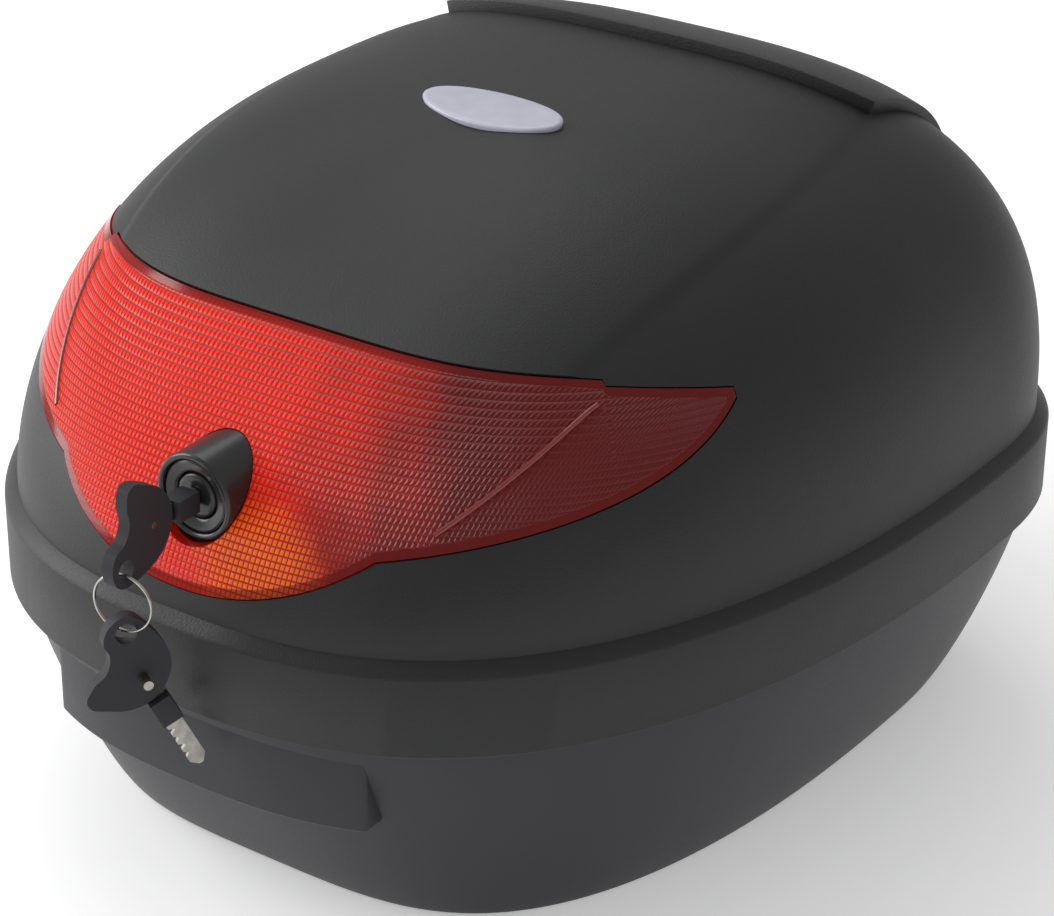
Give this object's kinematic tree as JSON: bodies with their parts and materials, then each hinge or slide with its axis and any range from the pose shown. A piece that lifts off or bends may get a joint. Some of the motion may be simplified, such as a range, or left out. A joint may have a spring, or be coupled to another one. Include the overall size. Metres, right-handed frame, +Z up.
{
  "type": "motorcycle top case",
  "caption": "Hard motorcycle top case: tapered tub, hinged domed lid with a wrap-round red lens, key lock with keys on a ring, and a plate latch underneath.",
  "frame": {"origin": "underside of the tub, on the symmetry plane, where it stands on its mounting plate", "axes": "-Y towards the lens and lock, +Y towards the hinges, +Z up"},
  "size_m": [0.4, 0.478, 0.2818],
  "materials": {
    "lid_plastic": "fine grained black plastic",
    "tub_plastic": "smooth satin dark grey plastic",
    "inner_plastic": "plain black plastic",
    "seal_rubber": "soft black rubber",
    "lens_red": "clear red moulded lens with small prisms",
    "reflector_silver": "silvered plastic",
    "badge_grey": "smooth blank grey badge",
    "lock_black": "glossy black",
    "lock_metal": "turned steel",
    "key_black": "satin black plastic",
    "key_steel": "bright nickel",
    "tab_red": "red moulded plastic",
    "hardware_steel": "zinc plated steel"
  },
  "bodies": {
    "tub": {"base_shell": "tub_plastic", "rim_seal": "seal_rubber", "striker": "hardware_steel", "striker_screw_left": "hardware_steel", "striker_screw_right": "hardware_steel", "mechanism_cover": "inner_plastic", "cover_screw_1": "hardware_steel", "cover_screw_2": "hardware_steel", "cover_screw_3": "hardware_steel", "cover_screw_4": "hardware_steel", "hinge_bracket_left": "hardware_steel", "hinge_bracket_right": "hardware_steel", "hinge_pin_left": "hardware_steel", "hinge_pin_right": "hardware_steel", "bracket_screw_left_1": "hardware_steel", "bracket_screw_left_2": "hardware_steel", "bracket_screw_right_1": "hardware_steel", "bracket_screw_right_2": "hardware_steel"},
    "plate_latch": {"release_tab": "tab_red", "plate_bolt": "hardware_steel"},
    "lid": {"lid_shell": "lid_plastic", "lens": "lens_red", "reflector_pan": "inner_plastic", "reflector_plate": "reflector_silver", "lens_screw_left": "hardware_steel", "lens_screw_right": "hardware_steel", "badge": "badge_grey", "lock_collar": "lock_black", "lock_nut": "inner_plastic", "lock_barrel": "lock_black", "latch_pin": "hardware_steel", "hinge_leaf_left": "hardware_steel", "hinge_leaf_right": "hardware_steel", "leaf_screw_left_1": "hardware_steel", "leaf_screw_left_2": "hardware_steel", "leaf_screw_right_1": "hardware_steel", "leaf_screw_right_2": "hardware_steel"},
    "plug": {"lock_plug": "lock_metal", "lock_cam": "lock_metal"},
    "hook": {"latch_hook": "hardware_steel"},
    "key_shank": {"key_blade": "key_steel", "key_neck": "key_black"},
    "key_head": {"key_bow": "key_black", "key_pin": "key_steel"},
    "ring": {"key_ring": "key_steel"},
    "spare_head": {"spare_key_bow": "key_black", "spare_key_pin": "key_steel"},
    "spare_shank": {"spare_key_blade": "key_steel", "spare_key_neck": "key_black"}
  },
  "joints": [
    {"name": "lid_hinge", "type": "hinge", "parent": "tub", "child": "lid", "pos_m": [0, 0.2206, 0.094], "axis": [-1, 0, 0], "range_deg": [0, 85]},
    {"name": "plug_turn", "type": "hinge", "parent": "lid", "child": "plug", "pos_m": [0, -0.19559, 0.1825], "axis": [0, 1, 0], "range_deg": [0, 90]},
    {"name": "latch_swing", "type": "hinge", "parent": "lid", "child": "hook", "pos_m": [0, -0.176, 0.1315], "axis": [-1, 0, 0], "range_deg": [0, 8]},
    {"name": "key_pull", "type": "slide", "parent": "plug", "child": "key_shank", "axis": [0, -1, 0], "range_m": [0, 0.03]},
    {"name": "key_fold", "type": "hinge", "parent": "key_shank", "child": "key_head", "pos_m": [0, -0.22049, 0.1825], "axis": [1, 0, 0], "range_deg": [-25, 0]},
    {"name": "ring_swing", "type": "hinge", "parent": "key_head", "child": "ring", "pos_m": [0, -0.23699, 0.1681], "axis": [1, 0, 0], "range_deg": [-25, 0]},
    {"name": "spare_key_swing", "type": "hinge", "parent": "ring", "child": "spare_head", "pos_m": [0, -0.23699, 0.1441], "axis": [-0.8387, 0.5446, 0], "range_deg": [-3, 12]},
    {"name": "spare_key_fold", "type": "hinge", "parent": "spare_head", "child": "spare_shank", "pos_m": [0.00306, -0.23228, 0.12448], "axis": [-0.8387, 0.5446, 0], "range_deg": [-6, 12]},
    {"name": "plate_release", "type": "slide", "parent": "tub", "child": "plate_latch", "axis": [0, 1, 0], "range_m": [0, 0.008], "stiffness_N_per_m": 600, "springref_m": -0.004}
  ],
  "couplings": [
    {"joint": "latch_swing", "follows": "plug_turn", "ratio": 0.088889}
  ]
}
